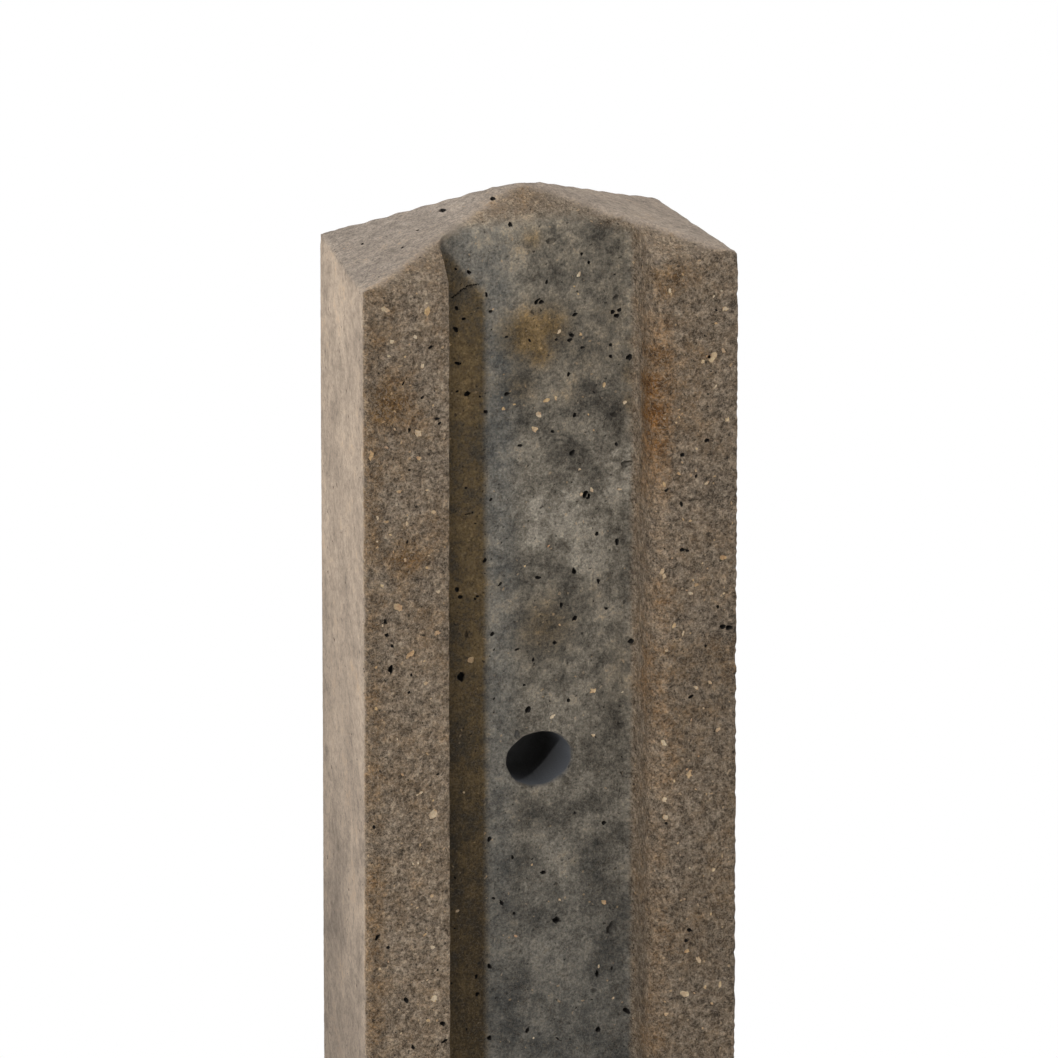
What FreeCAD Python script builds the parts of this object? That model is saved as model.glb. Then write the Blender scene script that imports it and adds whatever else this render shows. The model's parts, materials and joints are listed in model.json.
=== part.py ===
import FreeCAD, Part
import os

# A slotted concrete fence post, cast in one piece with its slotted face uppermost in the mould.
# Millimetres. X runs across the slotted face, Y from that face to the back, Z up.
# The origin is the middle of the foot.

# Shaft
SHAFT_HEIGHT = 1733.0     # foot to the eaves of the cap
FRONT_WIDTH = 100.0       # across the slotted face
SHAFT_DEPTH = 50.0        # slotted face to back
SIDE_DRAFT = 5.2          # how far each side leans in between the slotted face and the back
FRONT_ARRIS_RADIUS = 2.0  # the two upright edges of the slotted face
BACK_ARRIS_RADIUS = 2.0   # the two upright edges of the back

# Cap, four facets that rise from level eaves to one point
CAP_RISE = 17.7           # eaves to the point where the facets would meet
HIP_RADIUS = 3.0          # rounding of the four hips, which also blunts the point
EAVE_RADIUS = 1.0         # rounding of the edge all round the foot of the cap

# Panel slot, open at the foot and at the cap
MOUTH_WIDTH = 54.6        # between the two lands, at the slotted face
SLOT_DEPTH = 13.0         # slotted face to the slot's floor
WALL_DRAFT = 0.5          # how far each wall leans in between the mouth and the floor
ROOT_RADIUS = 2.5         # between each wall and the floor
MOUTH_RADIUS = 2.0        # the edges of the mouth, up the shaft and over the cap

# Fixing hole, through the slot's floor to the back
HOLE_DIAMETER = 14.5
HOLE_DROP = 134.5         # eaves to the hole's centre line

OVERCUT = 10.0            # how far a cutting shape reaches past the faces that it cuts
SAME_PLACE = 0.001        # points closer than this are one point

FRONT_Y = -SHAFT_DEPTH / 2
BACK_Y = SHAFT_DEPTH / 2
FLOOR_Y = FRONT_Y + SLOT_DEPTH
HALF_FRONT = FRONT_WIDTH / 2
HALF_BACK = HALF_FRONT - SIDE_DRAFT
HALF_MOUTH = MOUTH_WIDTH / 2
HALF_FLOOR = HALF_MOUTH - WALL_DRAFT
CAP_POINT = FreeCAD.Vector(0, 0, SHAFT_HEIGHT + CAP_RISE)
SECTION_CORNERS = ((-HALF_FRONT, FRONT_Y), (HALF_FRONT, FRONT_Y), (HALF_BACK, BACK_Y), (-HALF_BACK, BACK_Y))


def closed_face(points):
    """A flat face with straight sides through the points."""
    return Part.Face(Part.makePolygon(points + points[:1]))


def upright_prism(plan, bottom, height):
    """A plan of x, y corners drawn up from a level."""
    points = [FreeCAD.Vector(x, y, bottom) for x, y in plan]
    return closed_face(points).extrude(FreeCAD.Vector(0, 0, height))


def is_straight(edge):
    return isinstance(edge.Curve, Part.Line)


def upright_edges(shape, y):
    """The edges that run straight up at one distance from the middle plane."""
    straight = [edge for edge in shape.Edges if is_straight(edge)]
    upright = [edge for edge in straight if abs(edge.Vertexes[0].X - edge.Vertexes[1].X) < SAME_PLACE
               and abs(edge.Vertexes[0].Y - edge.Vertexes[1].Y) < SAME_PLACE]
    return [edge for edge in upright if abs(edge.Vertexes[0].Y - y) < SAME_PLACE]


def touches(edge, point):
    return any(vertex.Point.isEqual(point, SAME_PLACE) for vertex in edge.Vertexes)


def shaft_block():
    """The drafted section drawn up to the level of the cap's point, with its arrises rounded."""
    block = upright_prism(SECTION_CORNERS, 0, CAP_POINT.z)
    block = block.makeFillet(FRONT_ARRIS_RADIUS, upright_edges(block, FRONT_Y))
    return block.makeFillet(BACK_ARRIS_RADIUS, upright_edges(block, BACK_Y))


def waste_above_facet(eave_start, eave_end):
    """All that lies over one facet of the cap, with room to spare on every side of it."""
    corners = [eave_start, eave_end, CAP_POINT]
    middle = (eave_start + eave_end + CAP_POINT) / len(corners)
    spread = len(corners)
    wide = [middle + (corner - middle) * spread for corner in corners]
    return closed_face(wide).extrude(FreeCAD.Vector(0, 0, spread * CAP_RISE + OVERCUT))


def cut_cap(block):
    """Four facets, cut from the eaves to the point, with the hips and then the eaves rounded."""
    eaves = [FreeCAD.Vector(x, y, SHAFT_HEIGHT) for x, y in SECTION_CORNERS]
    for start, end in zip(eaves, eaves[1:] + eaves[:1]):
        block = block.cut(waste_above_facet(start, end))
    hips = [edge for edge in block.Edges if touches(edge, CAP_POINT)]
    block = block.makeFillet(HIP_RADIUS, hips)
    return block.makeFillet(EAVE_RADIUS, eave_edges(block))


def eave_edges(block):
    """The ring of edges between the shaft's upright faces and the cap."""
    shaft_faces = [face for face in block.Faces if is_upright(face)]
    rims = [edge for face in shaft_faces for edge in face.Edges if lowest(edge) > SHAFT_HEIGHT / 2]
    return [edge for edge in rims if not joins_upright_faces(edge, shaft_faces)]


def is_upright(face):
    """True for a face that runs from the foot up to the cap."""
    box = face.BoundBox
    return box.ZMin < SAME_PLACE and box.ZMax > SHAFT_HEIGHT / 2


def lowest(edge):
    return edge.BoundBox.ZMin


def joins_upright_faces(edge, faces):
    return sum(any(edge.isSame(other) for other in face.Edges) for face in faces) > 1


def slot_cutter():
    """The slot's former, wider at the mouth than at the floor, with its two long edges rounded."""
    lean = WALL_DRAFT / SLOT_DEPTH * OVERCUT
    plan = (
        (-HALF_MOUTH - lean, FRONT_Y - OVERCUT),
        (HALF_MOUTH + lean, FRONT_Y - OVERCUT),
        (HALF_FLOOR, FLOOR_Y),
        (-HALF_FLOOR, FLOOR_Y),
    )
    cutter = upright_prism(plan, -OVERCUT, CAP_POINT.z + 2 * OVERCUT)
    return cutter.makeFillet(ROOT_RADIUS, upright_edges(cutter, FLOOR_Y))


def round_mouth(post):
    """Rounds the mouth's edges from the foot to the eaves and on over the front facet."""
    at_face = upright_edges(post, FRONT_Y)
    up_shaft = [edge for edge in at_face if abs(abs(edge.Vertexes[0].X) - HALF_MOUTH) < SAME_PLACE]
    return post.makeFillet(MOUTH_RADIUS, up_shaft)


def hole_cutter():
    start = FreeCAD.Vector(0, FLOOR_Y - OVERCUT, SHAFT_HEIGHT - HOLE_DROP)
    length = BACK_Y - FLOOR_Y + 2 * OVERCUT
    return Part.makeCylinder(HOLE_DIAMETER / 2, length, start, FreeCAD.Vector(0, 1, 0))


def concrete_post():
    post = cut_cap(shaft_block())
    post = round_mouth(post.cut(slot_cutter()))
    return post.cut(hole_cutter()).Solids[0]


os.makedirs("parts", exist_ok=True)
concrete_post().exportStep("parts/concrete_post.step")
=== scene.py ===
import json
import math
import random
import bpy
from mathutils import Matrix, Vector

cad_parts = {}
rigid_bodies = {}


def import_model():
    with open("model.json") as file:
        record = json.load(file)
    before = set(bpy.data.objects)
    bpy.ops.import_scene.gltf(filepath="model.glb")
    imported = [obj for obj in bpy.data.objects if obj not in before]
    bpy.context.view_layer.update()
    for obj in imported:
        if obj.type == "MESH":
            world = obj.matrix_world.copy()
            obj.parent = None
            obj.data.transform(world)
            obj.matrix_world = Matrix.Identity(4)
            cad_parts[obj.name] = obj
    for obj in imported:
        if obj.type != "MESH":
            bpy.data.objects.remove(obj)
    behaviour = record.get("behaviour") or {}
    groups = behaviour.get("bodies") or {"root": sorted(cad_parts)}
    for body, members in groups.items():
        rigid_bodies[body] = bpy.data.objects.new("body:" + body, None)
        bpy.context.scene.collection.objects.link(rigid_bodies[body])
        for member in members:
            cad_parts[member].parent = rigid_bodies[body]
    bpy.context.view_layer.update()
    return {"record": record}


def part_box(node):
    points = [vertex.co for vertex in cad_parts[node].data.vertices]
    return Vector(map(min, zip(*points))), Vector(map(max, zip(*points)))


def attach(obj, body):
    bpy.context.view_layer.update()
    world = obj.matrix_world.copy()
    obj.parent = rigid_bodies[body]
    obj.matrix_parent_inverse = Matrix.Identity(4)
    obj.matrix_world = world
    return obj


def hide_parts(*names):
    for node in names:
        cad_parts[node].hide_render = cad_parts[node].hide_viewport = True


bl_info = {
    "name": "Slotted Concrete Fence Post",
    "version": (1, 0, 0),
    "blender": (4, 5, 0),
    "location": "View3D > Sidebar > Fence Post",
    "description": "Casts a slotted concrete fence post with a pyramid cap and sets it on a stage",
    "category": "Add Mesh",
}

import bpy
import numpy as np
from bpy.props import FloatProperty, FloatVectorProperty, IntProperty, PointerProperty
from mathutils import Matrix, Vector
from mathutils.bvhtree import BVHTree

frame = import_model()

MM = 0.001
NODE = "concrete_post"
PIECE = "post_casting"
X_AXIS, Y_AXIS, Z_AXIS = 0, 1, 2

MOUNTS = {mount["name"]: mount for mount in frame["record"]["mounts"]}
HOLE = MOUNTS["fixing_hole"]
BOX_LOW, BOX_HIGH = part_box(NODE)
EAVES = MOUNTS["panel_slot"]["pos_m"][Z_AXIS]
FRONT = BOX_LOW.y
BACK = BOX_HIGH.y
SLOT_FLOOR = BACK - HOLE["dims"]["length_mm"] * MM

CLOSE = 0.01 * MM      # corners nearer than this are on one line
ARRIS_BAND = 3.6 * MM  # strips of fine cells along the outer upright edges,
LIP_BAND = 4.5 * MM    # along the slot's mouth,
ROOT_BAND = 3 * MM     # along the slot's roots
END_BAND = 4 * MM      # and at the foot and under the eaves
FLOOR_CELLS = 36       # cells across the slot's floor between the roots


def from_screen(red, green, blue):
    """A screen colour, 0 to 255, as the linear colour that shaders take."""
    def channel(value):
        value /= 255
        return value / 12.92 if value <= 0.04045 else ((value + 0.055) / 1.055) ** 2.4
    return tuple(channel(value) for value in (red, green, blue))


def length_property(name, description, default):
    return FloatProperty(name=name, description=description, default=default, unit="LENGTH", precision=4)


def colour_property(name, description, screen):
    return FloatVectorProperty(name=name, description=description, default=from_screen(*screen),
                               subtype="COLOR", size=3, min=0.0, max=1.0)


class PostSizes(bpy.types.PropertyGroup):
    """Sizes of the casting."""
    front_width: length_property("Front width", "Across the slotted face", 100 * MM)
    side_draft: length_property("Side draft", "How far each side leans in towards the back", 4.9 * MM)
    cap_rise: length_property("Cap rise", "Eaves to the point where the facets meet", 17.7 * MM)
    mouth_width: length_property("Mouth width", "Between the two lands of the slot", 54.2 * MM)
    hole_width: length_property("Worn hole width", "Across the hole's worn mouth", 17.4 * MM)
    hole_shift: length_property("Hole shift", "How far the worn mouth sits off the bore", 1.2 * MM)
    soft_arris: length_property("Soft arris", "Rounding of the worn upright edge, front left", 2.4 * MM)
    arris: length_property("Arris", "Rounding of the other three upright edges", 0.7 * MM)
    left_lip: length_property("Left lip", "Rounding of the slot's sharper lip", 0.7 * MM)
    right_lip: length_property("Right lip", "Rounding of the slot's worn lip", 4.5 * MM)
    root: length_property("Root", "Rounding between the slot's walls and floor", 3.0 * MM)
    head_length: length_property("Head length", "Length under the eaves that has the fine mesh", 226 * MM)
    waviness: length_property("Waviness", "Height of the slow waves left by the mould", 0.4 * MM)
    float_marks: length_property("Float marks", "Height of the roughness on the struck face", 0.45 * MM)
    edge_wear: length_property("Edge wear", "Depth of the chips along the edges", 1.1 * MM)
    pore_seed: IntProperty(name="Pore seed", description="Start of the random places of the pores", default=7)


class PostColours(bpy.types.PropertyGroup):
    """Colours of the concrete."""
    mould_face: colour_property("Mould face", "Smooth sides and back", (184, 166, 147))
    mould_shade: colour_property("Mould shade", "Darker clouds on the smooth sides", (150, 134, 118))
    cap_face: colour_property("Cap face", "Weathered facets of the cap", (160, 148, 136))
    cap_shade: colour_property("Cap shade", "Darker clouds on the cap", (134, 122, 110))
    land_light: colour_property("Land light", "Pale sand in the struck face", (166, 150, 130))
    land: colour_property("Land", "Struck face beside the slot", (126, 111, 94))
    land_dark: colour_property("Land dark", "Dark sand in the struck face", (80, 69, 57))
    land_rust: colour_property("Land rust", "Warm patches in the struck face", (122, 98, 70))
    slot_light: colour_property("Slot light", "Pale bloom on the slot's floor", (160, 152, 138))
    slot: colour_property("Slot", "Grey floor of the slot", (118, 111, 99))
    slot_dark: colour_property("Slot dark", "Dark clouds on the slot's floor", (72, 68, 61))
    slot_cool: colour_property("Slot cool", "Bluish strip down the slot's floor", (118, 121, 120))
    # Also tints the shaded band of the slot's floor, as painted shadow.
    stain_and_shade: colour_property("Stain", "Tint of the brown stains", (212, 184, 136))
    rust: colour_property("Rust", "Tint of the slot's rusty wall", (255, 220, 170))
    aggregate: colour_property("Aggregate", "Tan grains that show in the struck face", (206, 170, 124))
    pale_stone: colour_property("Pale stone", "Cream grains that show in the struck face", (222, 204, 176))
    # Near black for pits and pinholes: painted shade inside them, with soiling.
    pore: colour_property("Pore", "Dirt inside pores", (34, 31, 28))
    # Darker grey of the hole's wall: painted shade, with soiling.
    bore: colour_property("Bore", "Dirty wall of the hole", (82, 84, 88))


class PostStage(bpy.types.PropertyGroup):
    """Camera and light."""
    lens: FloatProperty(name="Lens", description="Focal length of the camera", default=578.4, unit="CAMERA")
    distance: length_property("Distance", "Camera to the slotted face", 4.297)
    azimuth: FloatProperty(name="Azimuth", description="Turn of the camera to the left of the slotted face",
                           default=math.radians(18.84), subtype="ANGLE")
    elevation: FloatProperty(name="Elevation", description="How steeply the camera looks down",
                             default=math.radians(19.20), subtype="ANGLE")
    aim_drop: length_property("Aim drop", "Eaves to the point looked at", 67.2 * MM)
    aim_shift: length_property("Aim shift", "Post's middle to the point looked at", -6.1 * MM)
    floor_colour: colour_property("Floor", "Pale studio floor", (238, 238, 238))


def choose(piece):
    """Leaves one object selected and active."""
    bpy.ops.object.select_all(action="DESELECT")
    piece.select_set(True)
    bpy.context.view_layer.objects.active = piece


def places(piece):
    """The corners of a mesh as rows of x, y, z."""
    corners = np.empty(len(piece.data.vertices) * 3, np.float32)
    piece.data.vertices.foreach_get("co", corners)
    return corners.reshape(-1, 3).astype(float)


def move_to(piece, corners):
    piece.data.vertices.foreach_set("co", corners.astype(np.float32).ravel())
    piece.data.update()


def mark(piece, kind, wanted):
    """Selects corners, edges or faces by a list of yes and no, for the next edit."""
    mesh = piece.data
    for name in ("vertices", "edges", "polygons"):
        items = getattr(mesh, name)
        flags = wanted if name == kind else np.zeros(len(items), bool)
        items.foreach_set("select", flags)
    bpy.context.tool_settings.mesh_select_mode = (kind == "vertices", kind == "edges", kind == "polygons")


def edit(piece):
    choose(piece)
    bpy.ops.object.mode_set(mode="EDIT")


def close_edit():
    bpy.ops.object.mode_set(mode="OBJECT")


def split_band(piece, axis, low, high, cells):
    """Cuts every edge that crosses one band of the cage into equal cells."""
    ends = np.empty(len(piece.data.edges) * 2, np.int32)
    piece.data.edges.foreach_get("vertices", ends)
    along = places(piece)[ends.reshape(-1, 2)][:, :, axis]
    bottom, top = along.min(1), along.max(1)
    mark(piece, "edges", (bottom > low - CLOSE) & (top < high + CLOSE) & (top - bottom > CLOSE))
    edit(piece)
    bpy.ops.mesh.subdivide(number_cuts=cells - 1)
    close_edit()


def section_lines(sizes):
    """Where the cage of the section is cut across and front to back, with the cells in each band."""
    edge = sizes.front_width / 2
    mouth = sizes.mouth_width / 2
    across = [(edge - ARRIS_BAND, 4), (mouth + LIP_BAND, 11), (mouth, 5), (mouth - ROOT_BAND, 4)]
    depths = [(FRONT + LIP_BAND, 5), (SLOT_FLOOR - ROOT_BAND, 4), (SLOT_FLOOR, 4), (0.0, 5),
              (BACK - ARRIS_BAND, 7), (BACK, 3)]
    return edge, across, depths


def raise_cage(sizes):
    """A flat sheet cut to the U of the section, drawn up in storeys and divided into cells."""
    edge, across, depths = section_lines(sizes)
    bpy.ops.object.select_all(action="DESELECT")
    bpy.ops.mesh.primitive_plane_add(size=1.0, location=(0.0, 0.0, 0.0))
    cage = bpy.context.object
    cage.name = PIECE
    edit(cage)
    bpy.ops.mesh.select_all(action="SELECT")
    bpy.ops.transform.resize(value=(2 * edge, BACK - FRONT, 1.0))
    cuts = [((side * x, 0, 0), (1, 0, 0)) for x, _ in across for side in (-1, 1)]
    cuts += [((0, y, 0), (0, 1, 0)) for y, _ in depths[:-1]]
    for place, facing in cuts:
        bpy.ops.mesh.select_all(action="SELECT")
        bpy.ops.mesh.bisect(plane_co=place, plane_no=facing)
    close_edit()

    middles = np.array([face.center for face in cage.data.polygons])
    half_mouth = sizes.mouth_width / 2
    mark(cage, "polygons", (np.abs(middles[:, X_AXIS]) < half_mouth) & (middles[:, Y_AXIS] < SLOT_FLOOR))
    edit(cage)
    bpy.ops.mesh.delete(type="FACE")
    bpy.ops.mesh.select_all(action="SELECT")
    storeys = storey_lines(sizes)
    for low, high, _ in storeys:
        bpy.ops.mesh.extrude_region_move(TRANSFORM_OT_translate={"value": (0, 0, high - low)})
    bpy.ops.mesh.select_all(action="SELECT")
    bpy.ops.mesh.normals_make_consistent(inside=False)
    close_edit()

    outer = edge
    for inner, cells in across:
        for side in (-1, 1):
            low, high = sorted((side * inner, side * outer))
            split_band(cage, X_AXIS, low, high, cells)
        outer = inner
    split_band(cage, X_AXIS, -outer, outer, FLOOR_CELLS)
    nearer = FRONT
    for further, cells in depths:
        split_band(cage, Y_AXIS, nearer, further, cells)
        nearer = further
    for low, high, cells in storeys:
        split_band(cage, Z_AXIS, low, high, cells)
    return cage


def storey_lines(sizes):
    """Lower and upper level of each storey of the cage, with its rows of cells."""
    head = EAVES - sizes.head_length
    levels = [(0.0, 0), (END_BAND, 3), (head / 2, 24), (head, 24), (head + sizes.head_length / 2, 96),
              (EAVES - END_BAND, 98), (EAVES, 4)]
    return [(low, high, cells) for (low, _), (high, cells) in zip(levels, levels[1:])]


def half_width(sizes, y):
    """Middle of the post to one of its leaning sides, at a depth."""
    return sizes.front_width / 2 - sizes.side_draft * (y - FRONT) / (BACK - FRONT)


def facet_heights(sizes, x, y):
    """How high the front or back facets and the side facets stand over the eaves."""
    half_depth = (BACK - FRONT) / 2
    middle_width = (sizes.front_width - sizes.side_draft) / 2
    ends = sizes.cap_rise * (half_depth - np.abs(y)) / half_depth
    sides = sizes.cap_rise * (half_width(sizes, y) - np.abs(x)) / middle_width
    return ends, sides


def round_corner(corners, x, y, inward, radius):
    """Draws the cage in round one upright edge; inward points from the edge to the middle of the curve."""
    middle = np.array((x, y)) + np.array(inward) * radius
    reach = (middle - corners[:, :2]) * inward
    near = np.all((reach > -CLOSE) & (reach < radius + CLOSE), axis=1) & (reach.max(1) > CLOSE)
    share = reach[near].max(1) / np.hypot(*reach[near].T)
    corners[near, :2] = middle - reach[near] * share[:, None] * inward


def round_section(cage, sizes):
    """Rounds the arrises, the lips and the roots of the slot over the whole height."""
    edge = sizes.front_width / 2
    mouth = sizes.mouth_width / 2
    corners = places(cage)
    for hand, lip, arris in ((-1, sizes.left_lip, sizes.soft_arris), (1, sizes.right_lip, sizes.arris)):
        round_corner(corners, hand * edge, FRONT, (-hand, 1), arris)
        round_corner(corners, hand * edge, BACK, (-hand, -1), sizes.arris)
        round_corner(corners, hand * mouth, FRONT, (hand, 1), lip)
        round_corner(corners, hand * mouth, SLOT_FLOOR, (-hand, -1), sizes.root)
    move_to(cage, corners)


def lean_sides(cage, sizes):
    """Leans the two sides in towards the back."""
    corners = places(cage)
    lean = sizes.side_draft / (sizes.front_width / 2)
    corners[:, X_AXIS] *= 1 - lean * (corners[:, Y_AXIS] - FRONT) / (BACK - FRONT)
    move_to(cage, corners)


def crease_hips(cage, sizes):
    """Cuts the level top of the cage along the four hips, from each corner to the middle."""
    half_front = sizes.front_width / 2
    half_back = half_front - sizes.side_draft
    for hand in (-1, 1):
        for x, y in ((hand * half_front, FRONT), (hand * half_back, BACK)):
            middles = np.array([face.center for face in cage.data.polygons])
            on_top = middles[:, Z_AXIS] > EAVES - 0.1 * MM
            mark(cage, "polygons", on_top & (middles[:, X_AXIS] * x > 0) & (middles[:, Y_AXIS] * y > 0))
            edit(cage)
            bpy.ops.mesh.bisect(plane_co=(0.0, 0.0, EAVES), plane_no=(y, -x, 0.0))
            close_edit()


def lift_cap(cage, sizes):
    """Lifts the top of the cage to the four facets, and stretches the slot's walls up to them."""
    corners = places(cage)
    ends, sides = facet_heights(sizes, corners[:, X_AXIS], corners[:, Y_AXIS])
    lift = np.clip(np.minimum(ends, sides), 0, None)
    reach = 30 * MM
    share = np.clip((corners[:, Z_AXIS] - EAVES + reach) / reach, 0, 1)
    corners[:, Z_AXIS] += lift * share
    move_to(cage, corners)


def soften(cage, near, rounds, axes="xyz"):
    """Rounds the edges that run through the marked corners, along the named axes only."""
    mark(cage, "vertices", near)
    edit(cage)
    bpy.ops.mesh.vertices_smooth(factor=0.5, repeat=rounds,
                                 xaxis="x" in axes, yaxis="y" in axes, zaxis="z" in axes)
    close_edit()


def round_cap(cage, sizes):
    """Rounds the hips, the eaves, the point and the top of the slot's floor, and eases the foot."""
    skin, hip_band, hip_start, point_reach = 0.05 * MM, 1.6 * MM, 0.8 * MM, 6 * MM
    eave_band, eave_rise, floor_band, front_band, foot_band = 2.5 * MM, 0.9 * MM, 4 * MM, 5 * MM, 3.5 * MM
    x, y, z = places(cage).T
    width = np.abs(x)
    off_eaves = np.abs(z - EAVES)
    ends, sides = facet_heights(sizes, x, y)
    rim = np.clip(np.minimum(ends, sides), 0, None)
    top = EAVES + rim
    on_cap = z > top - skin
    near_hip = on_cap & (np.abs(ends - sides) < hip_band) & (rim > hip_start)
    soften(cage, near_hip & (y < 0), 3, "z")
    soften(cage, near_hip & (y > 0), 1, "z")
    soften(cage, on_cap & (np.hypot(x, y) < point_reach), 2, "z")
    soften(cage, (off_eaves < eave_band) & (rim < eave_rise), 1)
    over_floor = (width < sizes.mouth_width / 2 - floor_band) & (np.abs(y - SLOT_FLOOR) < floor_band)
    soften(cage, over_floor & (z > top - floor_band), 6, "yz")
    off_sides = width < half_width(sizes, y) - floor_band
    soften(cage, (y < FRONT + front_band) & off_sides & (off_eaves < front_band), 8, "yz")
    soften(cage, z < foot_band, 4)


def weight_group(cage, name, weights):
    """A vertex group with its own weight at each corner."""
    group = cage.vertex_groups.new(name=name)
    for index in np.flatnonzero(weights > 0.01):
        group.add([int(index)], float(weights[index]), "REPLACE")
    return group.name


def ease(value, low, high):
    """0 under low, 1 over high, smooth between."""
    share = np.clip((value - low) / (high - low), 0, 1)
    return share * share * (3 - 2 * share)


def roughen(cage, name, grain, depth, octaves, level, group=""):
    """Moves the surface in and out by cloudy noise, and applies it."""
    texture = bpy.data.textures.new(name, "CLOUDS")
    texture.noise_scale = grain
    texture.noise_depth = octaves
    texture.noise_type = "SOFT_NOISE"
    wave = cage.modifiers.new(name, "DISPLACE")
    wave.texture = texture
    wave.texture_coords = "LOCAL"
    wave.strength = depth
    wave.mid_level = level
    wave.vertex_group = group
    choose(cage)
    bpy.ops.object.modifier_apply(modifier=wave.name)


def weather(cage, sizes):
    """Slow waves all over, a rough struck face and worn edges."""
    x, y, z = places(cage).T
    ends, sides = facet_heights(sizes, x, y)
    on_cap = ease(z, EAVES - 2 * MM, EAVES + 1 * MM)
    front_facet = on_cap * (y < 0) * ease(sides - ends, -1 * MM, 1 * MM)
    struck = np.maximum(ease(-y, -FRONT - 3 * MM, -FRONT - 0.6 * MM), front_facet)
    off_arris = np.hypot(half_width(sizes, y) - np.abs(x), y - FRONT)
    off_eave = np.abs(z - EAVES) + np.clip(np.minimum(ends, sides), 0, None)
    near_arris = (1 - ease(off_arris, 1 * MM, 4 * MM)) * (y < 0)
    near_eave = 1 - ease(off_eave, 1 * MM, 4 * MM)
    worn = np.maximum(np.where(x > 0, 1.0, 0.5) * near_arris, 0.4 * near_eave)
    roughen(cage, "mould_waves", grain=140 * MM, depth=sizes.waviness, octaves=1, level=0.55)
    struck_group = weight_group(cage, "struck", struck)
    worn_group = weight_group(cage, "worn", worn)
    roughen(cage, "float_marks", grain=2.6 * MM, depth=sizes.float_marks, octaves=2, level=0.6,
            group=struck_group)
    roughen(cage, "edge_wear", grain=1.8 * MM, depth=sizes.edge_wear, octaves=2, level=0.52,
            group=worn_group)
    roughen(cage, "skin", grain=2.2 * MM, depth=0.14 * MM, octaves=1, level=0.5)
    cage.vertex_groups.clear()


def drill(sizes):
    """A cutter for the hole: an oval worn mouth that narrows to the round bore."""
    start = BACK + 5 * MM
    rim_flare, neck_flare = 1.08, 1.03
    sides = 56
    radius = HOLE["dims"]["r_mm"] * MM
    height = HOLE["pos_m"][Z_AXIS]
    bpy.ops.object.select_all(action="DESELECT")
    bpy.ops.mesh.primitive_circle_add(vertices=sides, radius=radius, fill_type="NGON",
                                      location=(0.0, 0.0, 0.0), rotation=(math.pi / 2, 0.0, 0.0))
    cutter = bpy.context.object
    bpy.ops.object.transform_apply(rotation=True)
    edit(cutter)
    bpy.ops.mesh.select_all(action="SELECT")
    bpy.ops.transform.translate(value=(0, start, height))
    wide = sizes.hole_width / 2 / radius
    # Each step: its depth, how much wider and taller it grows there, and its move to the side.
    steps = [
        (BACK + 0.5 * MM, 1 / rim_flare, 1 / rim_flare, 0.0),
        (BACK - 1.0 * MM, 1 / neck_flare, 1 / neck_flare, 0.0),
        (SLOT_FLOOR + 13 * MM, 1.0, 1.0, 0.0),
        (SLOT_FLOOR + 1.6 * MM, wide, 0.985, sizes.hole_shift),
        (SLOT_FLOOR + 0.5 * MM, 1.02, 1.02, 0.0),
        (SLOT_FLOOR - 0.6 * MM, 1.12, 1.12, 0.0),
        (SLOT_FLOOR - 6 * MM, 1.0, 1.0, 0.0),
    ]
    flare = rim_flare * neck_flare
    bpy.ops.transform.resize(value=(flare, 1, flare), center_override=(0, 0, height))
    level = start
    middle = 0.0
    for depth, wider, taller, shift in steps:
        bpy.ops.mesh.extrude_region_move(TRANSFORM_OT_translate={"value": (shift, depth - level, 0)})
        middle += shift
        bpy.ops.transform.resize(value=(wider, 1, taller), center_override=(middle, depth, height))
        level = depth
    bpy.ops.mesh.select_all(action="SELECT")
    bpy.ops.mesh.normals_make_consistent(inside=False)
    close_edit()
    roughen(cutter, "bore_wear", grain=3 * MM, depth=0.8 * MM, octaves=2, level=0.5)
    return cutter


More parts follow.
